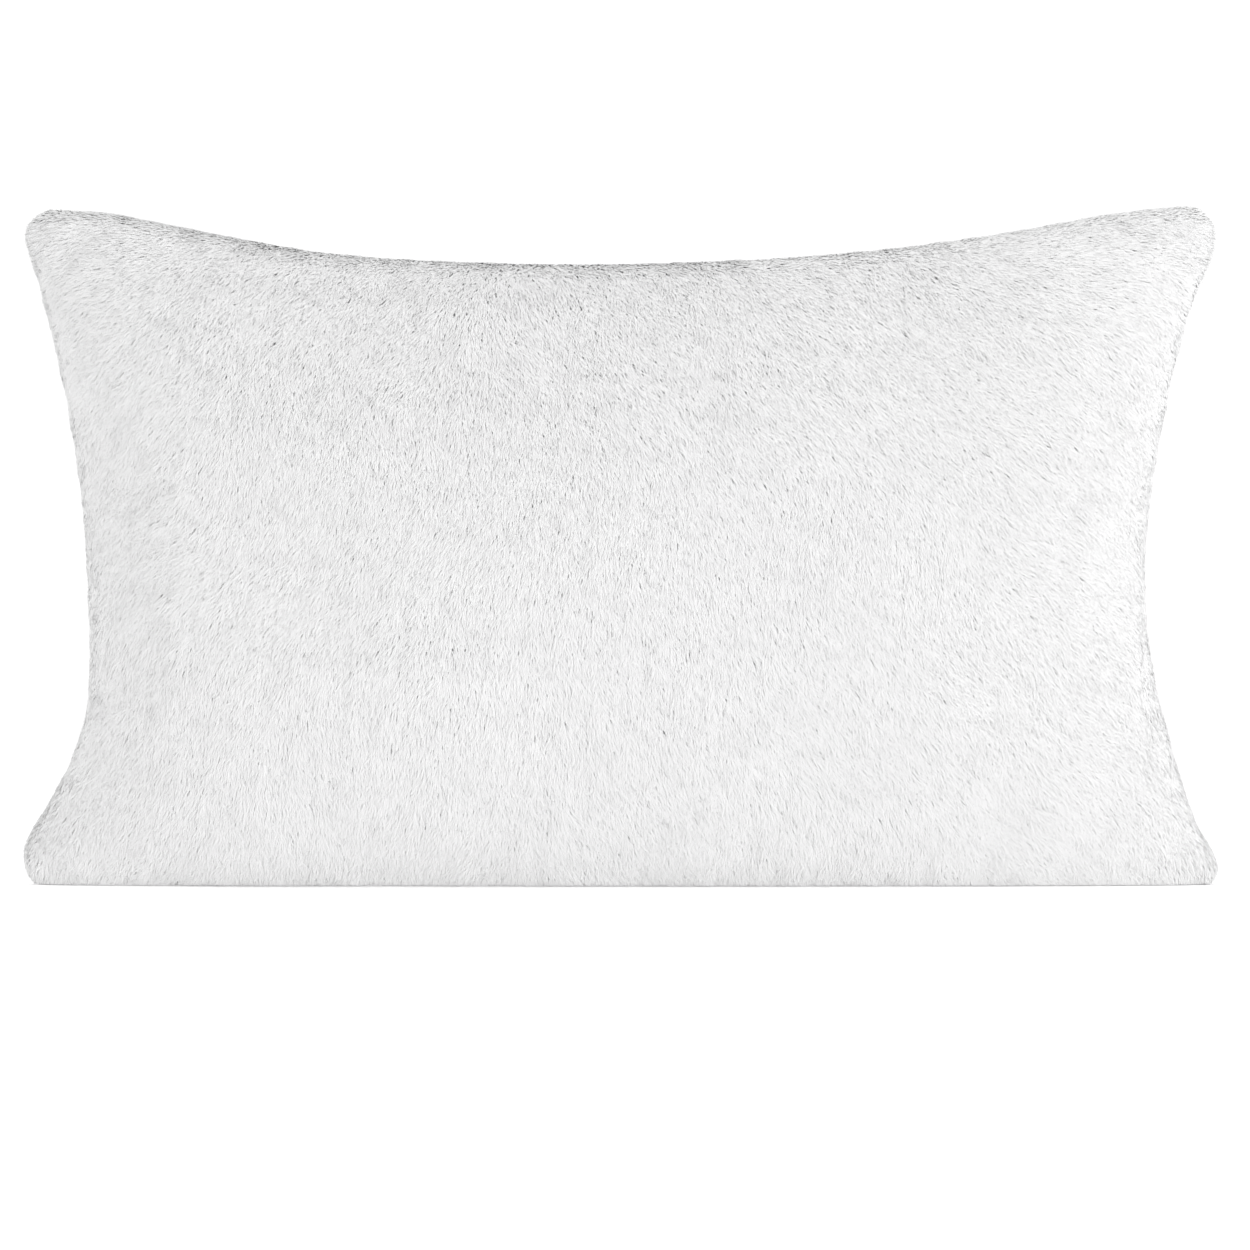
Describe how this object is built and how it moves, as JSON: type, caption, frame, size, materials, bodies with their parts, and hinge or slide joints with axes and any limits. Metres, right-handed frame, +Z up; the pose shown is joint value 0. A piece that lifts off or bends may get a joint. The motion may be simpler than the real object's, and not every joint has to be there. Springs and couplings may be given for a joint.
{
  "type": "lumbar pillow",
  "caption": "Rectangular plush lumbar pillow with drawn-in sides and pinched corners, a zipped back and a fibre-filled insert.",
  "frame": {"origin": "on the floor below the middle of the seam plane, at the middle of the pillow's width", "axes": "+X along the width, -Y out of the plush front, +Y out of the zipped back, +Z up"},
  "size_m": [0.4998, 0.112, 0.284],
  "materials": {
    "plush": "matte",
    "back_fabric": "matte",
    "zip_tape": "matte",
    "zip_coil": "satin",
    "zip_metal": "satin",
    "thread": "satin",
    "label": "satin",
    "insert_fabric": "matte",
    "fibre": "matte"
  },
  "bodies": {
    "pillow": {"front_panel": "plush", "back_panel_upper": "back_fabric", "back_panel_lower": "back_fabric", "cover_seam_thread": "thread", "cover_overlock_thread": "thread", "care_label": "label", "zip_tape_upper": "zip_tape", "zip_tape_lower": "zip_tape", "zip_coil_upper": "zip_coil", "zip_coil_lower": "zip_coil", "zip_top_stops": "zip_metal", "zip_bottom_stop": "zip_metal", "zip_stitches_upper": "thread", "zip_stitches_lower": "thread", "zip_end_bartacks": "thread", "insert_front_panel": "insert_fabric", "insert_back_panel": "insert_fabric", "insert_seam_thread": "thread", "insert_closing_stitches": "thread", "insert_label": "label", "fibre_fill": "fibre"},
    "zip_slider": {"zip_slider_body": "zip_metal"},
    "zip_pull": {"zip_pull_tab": "zip_metal"}
  },
  "joints": [
    {"name": "zip_slide", "type": "slide", "parent": "pillow", "child": "zip_slider", "axis": [-1, 0, 0], "range_m": [0, 0.292]},
    {"name": "pull_flip", "type": "hinge", "parent": "zip_slider", "child": "zip_pull", "pos_m": [0.146, 0.0383, 0.046], "axis": [0, 0, -1], "range_deg": [0, 170]}
  ]
}
